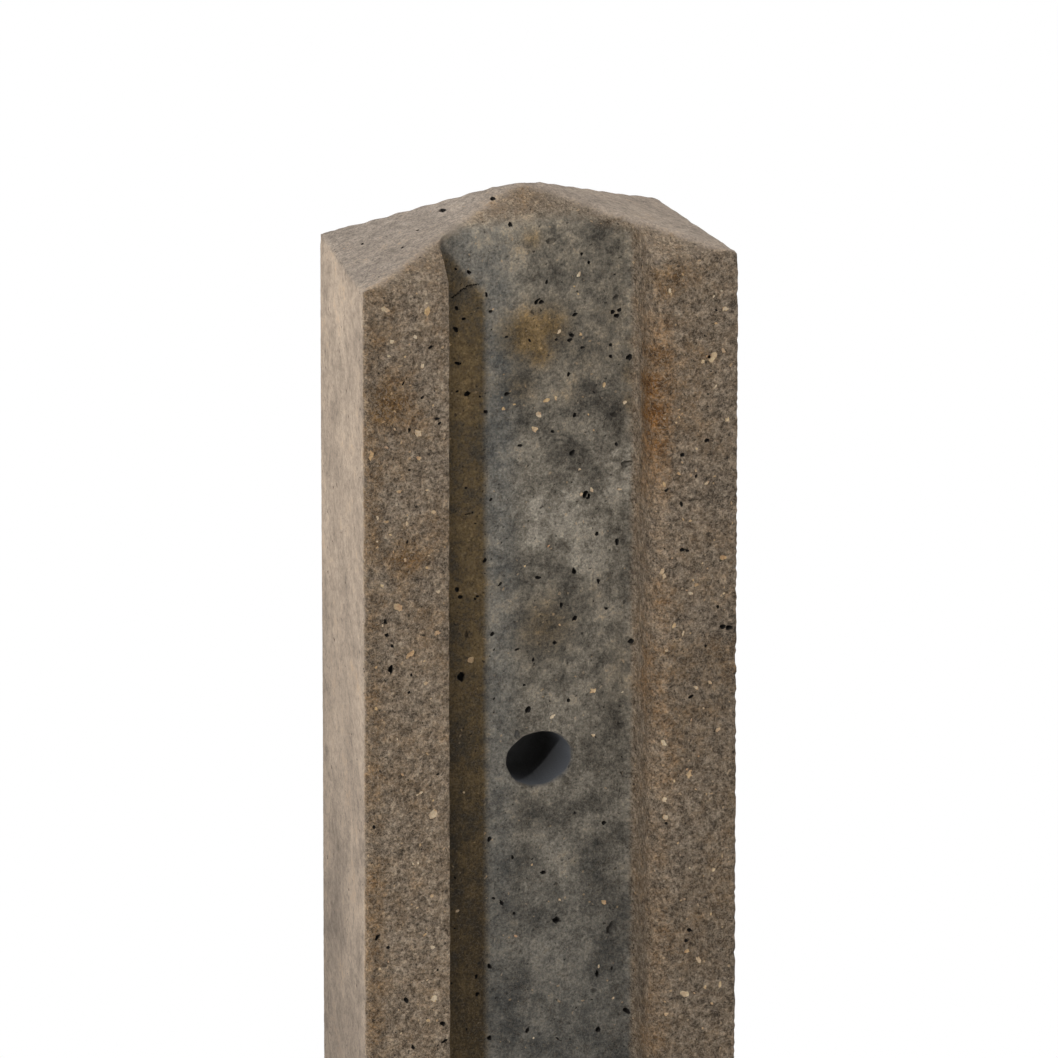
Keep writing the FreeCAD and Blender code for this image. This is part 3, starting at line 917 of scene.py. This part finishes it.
def cast_concrete(colours):
    """Concrete with smooth moulded sides, a coarse struck face and a stained grey slot."""
    material = bpy.data.materials.new("cast_concrete")
    bench = Bench(material)
    place = bench.add("ShaderNodeTexCoord").outputs["Object"]
    upright = bench.add("ShaderNodeMapping", None, {"Vector": place, "Scale": (1.0, 1.0, 0.15)})
    upright = upright.outputs["Vector"]
    swirl = bench.add("ShaderNodeTexNoise", None, {"Vector": place, "Scale": 1 / (2.2 * MM), "Detail": 2.0})
    shove = bench.add("ShaderNodeVectorMath", {"operation": "SUBTRACT"})
    bench.feed(shove.inputs[0], swirl.outputs["Color"])
    bench.feed(shove.inputs[1], (0.5, 0.5, 0.5))
    shift = bench.add("ShaderNodeVectorMath", {"operation": "MULTIPLY_ADD"})
    bench.feed(shift.inputs[0], shove.outputs["Vector"])
    bench.feed(shift.inputs[1], (2.4 * MM, 2.4 * MM, 2.4 * MM))
    bench.feed(shift.inputs[2], place)
    ragged = shift.outputs["Vector"]

    clouds = bench.noise(place, 30 * MM, 6.0, 0.75)
    streaks = bench.noise(upright, 4 * MM, 2.0, 0.6)
    sand = bench.noise(place, 2.2 * MM, 4.0, 0.92)
    patches = bench.noise(place, 14 * MM, 5.0, 0.85)
    grit = bench.noise(place, 0.7 * MM, 2.0, 0.8)
    lace = bench.calc("ABSOLUTE", bench.calc("SUBTRACT", bench.noise(ragged, 1.3 * MM, 2.0, 0.6), 0.5), 0.0)
    threads = bench.fit(lace, 0.035, 0.0)

    mould = bench.ramp(clouds, (0.3, colours.mould_shade), (0.7, colours.mould_face))
    mould = bench.mix(bench.fit(streaks, 0.35, 0.75, 0.0, 0.3), mould, rgba(colours.mould_shade))
    cap = bench.ramp(clouds, (0.3, colours.cap_shade), (0.7, colours.cap_face))
    mould = bench.mix(bench.zone("cap"), mould, cap)
    land = bench.ramp(sand, (0.32, colours.land_dark), (0.5, colours.land), (0.68, colours.land_light))
    land = bench.mix(bench.fit(patches, 0.4, 0.65, 0.0, 0.5), land, rgba(colours.land_rust))
    # The tone zone also holds a painted lift in the shaded band of the slot's floor.
    tone = bench.calc("ADD", patches, bench.fit(bench.zone("tone"), 0.0, 1.0, -0.17, 0.17))
    floor = bench.ramp(tone, (0.35, colours.slot_dark), (0.5, colours.slot), (0.65, colours.slot_light))
    floor = bench.mix(bench.calc("MULTIPLY", bench.zone("cool"), 0.3), floor, rgba(colours.slot_cool))

    edge = bench.fit(sand, 0.35, 0.65, -0.3, 0.3)
    struck = bench.fit(bench.calc("ADD", bench.zone("struck"), edge), 0.25, 0.75)
    base = bench.mix(struck, mould, land)
    slot_edge = bench.fit(bench.calc("ADD", bench.zone("slot_floor"), edge), 0.1, 0.9)
    base = bench.mix(slot_edge, base, floor)
    ragged_edge = bench.fit(patches, 0.3, 0.7, -0.35, 0.35)
    blotches = bench.calc("ADD", ragged_edge, bench.fit(sand, 0.3, 0.7, -0.2, 0.2))
    wall = bench.fit(bench.calc("ADD", bench.zone("slot_wall"), blotches), 0.2, 1.2, 0.0, 0.6)
    base = bench.mix(wall, base, rgba(colours.rust), "MULTIPLY")
    # Brown tint of the stains, which in the shaded band of the slot's floor is painted shadow.
    rusty = bench.fit(bench.calc("ADD", bench.zone("stain_and_shade"), blotches), 0.1, 0.9, 0.0, 0.95)
    base = bench.mix(rusty, base, rgba(colours.stain_and_shade), "MULTIPLY")
    # Darkening down the post and towards the back, with painted shadow in the shaded band and painted shade
    # beside the left lip.
    darkening = bench.calc("MULTIPLY", bench.zone("grime_and_shade"), bench.fit(clouds, 0.3, 0.7, 1.2, 0.8))
    base = bench.mix(1.0, base, bench.fit(darkening, 0.0, 1.0, 1.0, 1 - 0.42 * MOST_GRIME_AND_SHADE), "MULTIPLY")

    rough = bench.calc("MAXIMUM", struck, bench.calc("MULTIPLY", bench.zone("cap"), 0.4))
    rough = bench.calc("MULTIPLY", rough, bench.fit(slot_edge, 0.0, 1.0, 1.0, 0.45))
    base = bench.mix(bench.fit(rough, 0.0, 1.0, 0.15, 0.8), base, bench.fit(grit, 0.25, 0.75), "OVERLAY")
    base = bench.mix(bench.fit(rough, 0.0, 0.4, 0.5, 0.6), base, bench.fit(sand, 0.25, 0.75), "OVERLAY")
    base = bench.mix(bench.fit(rough, 0.0, 0.6, 0.45, 0.2), base, bench.fit(patches, 0.25, 0.75), "OVERLAY")
    threads = bench.calc("MULTIPLY", threads, bench.fit(rough, 0.2, 1.0, 0.0, 0.55))
    base = bench.mix(threads, base, rgba(colours.land_light))
    grains, tint = specks(bench, ragged, 2.2 * MM, 0.35, 0.22)
    tan = bench.mix(tint, rgba(colours.aggregate), rgba(colours.land_light))
    base = bench.mix(bench.calc("MULTIPLY", grains, bench.fit(rough, 0.0, 1.0, 0.1, 0.7)), base, tan)
    # Tiny pinholes painted near black: painted shade of holes too small to cut.
    pinholes, _ = specks(bench, ragged, 1.9 * MM, 0.35, 0.19)
    base = bench.mix(bench.calc("MULTIPLY", pinholes, 0.7), base, rgba(colours.pore))
    chip = bench.zone("chip")
    stone = bench.mix(bench.fit(chip, 0.5, 1.0), rgba(colours.aggregate), rgba(colours.pale_stone))
    stone = bench.mix(0.5, stone, bench.fit(sand, 0.25, 0.75), "OVERLAY")
    base = bench.mix(bench.fit(chip, 0.1, 0.4, 0.0, 0.85), base, stone)
    # Cut pores and pits painted near black: painted shade inside them, with soiling.
    base = bench.mix(bench.fit(bench.zone("pit"), 0.0, 0.8), base, rgba(colours.pore))
    # The hole's wall goes darker, then near black further in: painted shade inside the hole.
    base = bench.mix(bench.fit(bench.zone("bore"), 0.0, 0.5), base, rgba(colours.bore))
    base = bench.mix(bench.fit(bench.zone("bore"), 0.5, 1.0, 0.0, 0.95), base, rgba(colours.pore))

    relief = bench.calc("ADD", bench.calc("MULTIPLY", grit, 0.5), sand)
    relief = bench.calc("SUBTRACT", relief, bench.calc("MULTIPLY", pinholes, 0.5))
    depth = bench.fit(rough, 0.0, 1.0, 0.25 * MM, 1.2 * MM)
    bump = bench.add("ShaderNodeBump", None, {"Strength": 1.0, "Distance": depth, "Height": relief})
    shader = bench.add("ShaderNodeBsdfPrincipled", None, {
        "Base Color": base, "Normal": bump.outputs["Normal"],
        "Roughness": bench.fit(clouds, 0.3, 0.7, 0.82, 0.95), "Specular IOR Level": 0.25,
    })
    bench.add("ShaderNodeOutputMaterial", None, {"Surface": shader.outputs["BSDF"]})
    return material


class POST_OT_cast(bpy.types.Operator):
    """Casts the post with its cap, slot, hole and pores"""
    bl_idname = "fence_post.cast"
    bl_label = "Cast Post"
    bl_options = {"REGISTER", "UNDO"}

    def execute(self, context):
        sizes = context.scene.post_sizes
        post = raise_cage(sizes)
        round_section(post, sizes)
        lean_sides(post, sizes)
        crease_hips(post, sizes)
        lift_cap(post, sizes)
        round_cap(post, sizes)
        weather(post, sizes)
        for name in ("pit", "chip"):
            post.data.attributes.new(name, "FLOAT", "POINT")
        pips = spot_cutters(post, sizes)
        cut(post, drill(sizes))
        cut(post, pips)
        drop_crumbs(post)
        keep_in_box(post)
        map_zones(post, sizes)
        choose(post)
        bpy.ops.object.shade_smooth_by_angle(angle=math.radians(50))
        post.data.materials.clear()
        post.data.materials.append(cast_concrete(context.scene.post_colours))
        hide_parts(NODE)
        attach(post, "root")
        return {"FINISHED"}


class POST_OT_stage(bpy.types.Operator):
    """Lays the floor, hangs the lamps and sets the camera"""
    bl_idname = "fence_post.stage"
    bl_label = "Set Stage"
    bl_options = {"REGISTER", "UNDO"}

    def execute(self, context):
        stage = context.scene.post_stage
        lay_floor(stage)
        light_world()
        hang_lamps()
        set_camera(stage)
        context.scene.view_settings.view_transform = "Standard"
        return {"FINISHED"}


def lay_floor(stage):
    """A wide pale floor that stays white to the camera away from the post."""
    bpy.ops.object.select_all(action="DESELECT")
    bpy.ops.mesh.primitive_plane_add(size=160.0, location=(0.0, 0.0, 0.0))
    floor = bpy.context.object
    floor.name = "studio_floor"
    material = bpy.data.materials.new("pale_floor")
    bench = Bench(material)
    place = bench.add("ShaderNodeTexCoord").outputs["Object"]
    away = bench.add("ShaderNodeVectorMath", {"operation": "LENGTH"}, {"Vector": place}).outputs["Value"]
    seen = bench.calc("MULTIPLY", bench.fit(away, 0.3, 3.0), bench.backdrop_rays())
    paint = bench.add("ShaderNodeBsdfDiffuse", None, {"Color": rgba(stage.floor_colour)})
    glow = bench.add("ShaderNodeEmission", None, {"Strength": 1.0})
    mix = bench.add("ShaderNodeMixShader", None, {"Fac": seen})
    bench.feed(mix.inputs[1], paint.outputs["BSDF"])
    bench.feed(mix.inputs[2], glow.outputs["Emission"])
    bench.add("ShaderNodeOutputMaterial", None, {"Surface": mix.outputs["Shader"]})
    floor.data.materials.append(material)


def light_world():
    """White to the camera, a dim even light to everything else."""
    world = bpy.data.worlds.new("studio")
    bpy.context.scene.world = world
    bench = Bench(world)
    bounce = bench.add("ShaderNodeBackground", None, {"Color": rgba((1.0, 1.0, 1.0)), "Strength": 0.5})
    white = bench.add("ShaderNodeBackground", None, {"Color": rgba((1.0, 1.0, 1.0)), "Strength": 1.0})
    mix = bench.add("ShaderNodeMixShader", None, {"Fac": bench.backdrop_rays()})
    bench.feed(mix.inputs[1], bounce.outputs["Background"])
    bench.feed(mix.inputs[2], white.outputs["Background"])
    bench.add("ShaderNodeOutputWorld", None, {"Surface": mix.outputs["Shader"]})


def hang_lamp(name, place, target, size, power):
    """A square soft lamp that faces its target and isn't seen itself."""
    bpy.ops.object.select_all(action="DESELECT")
    bpy.ops.object.light_add(type="AREA", location=place)
    lamp = bpy.context.object
    lamp.name = name
    lamp.data.size = size
    lamp.data.energy = power
    lamp.rotation_euler = (Vector(target) - Vector(place)).to_track_quat("-Z", "Y").to_euler()
    lamp.visible_camera = False


def hang_lamps():
    head = Vector((0.0, 0.0, EAVES - 0.1))
    key_way = Vector((-0.643, -0.58, 0.504)).normalized()
    middle = (0.0, 0.0, 1.2)
    hang_lamp("key_lamp", head + key_way * 5.0, head, size=0.22, power=118.0)
    hang_lamp("window_lamp", (-4.0, 1.2, 2.2), middle, size=3.0, power=55.0)
    hang_lamp("sky_lamp", (1.2, 0.3, 5.5), middle, size=3.0, power=60.0)


def set_camera(stage):
    aim = Vector((stage.aim_shift, FRONT, EAVES - stage.aim_drop))
    flat = math.cos(stage.elevation)
    rise = math.sin(stage.elevation)
    back_off = Vector((-math.sin(stage.azimuth) * flat, -math.cos(stage.azimuth) * flat, rise))
    bpy.ops.object.camera_add(location=aim + back_off * stage.distance)
    camera = bpy.context.object
    camera.name = "photo_camera"
    camera.rotation_euler = (-back_off).to_track_quat("-Z", "Y").to_euler()
    camera.data.lens = stage.lens
    camera.data.sensor_width = 36.0
    camera.data.clip_end = 200.0
    bpy.context.scene.camera = camera


class POST_PT_panel(bpy.types.Panel):
    """Sizes, colours and steps of the post"""
    bl_label = "Fence Post"
    bl_idname = "POST_PT_panel"
    bl_space_type = "VIEW_3D"
    bl_region_type = "UI"
    bl_category = "Fence Post"

    def draw(self, context):
        for group in (context.scene.post_sizes, context.scene.post_colours, context.scene.post_stage):
            box = self.layout.box()
            for name in group.__annotations__:
                box.prop(group, name)
        self.layout.operator(POST_OT_cast.bl_idname)
        self.layout.operator(POST_OT_stage.bl_idname)


CLASSES = (PostSizes, PostColours, PostStage, POST_OT_cast, POST_OT_stage, POST_PT_panel)


def register():
    for item in CLASSES:
        bpy.utils.register_class(item)
    bpy.types.Scene.post_sizes = PointerProperty(type=PostSizes)
    bpy.types.Scene.post_colours = PointerProperty(type=PostColours)
    bpy.types.Scene.post_stage = PointerProperty(type=PostStage)


def unregister():
    del bpy.types.Scene.post_stage
    del bpy.types.Scene.post_colours
    del bpy.types.Scene.post_sizes
    for item in reversed(CLASSES):
        bpy.utils.unregister_class(item)


def main():
    register()
    bpy.ops.fence_post.cast()
    bpy.ops.fence_post.stage()


if __name__ == "__main__":
    main()
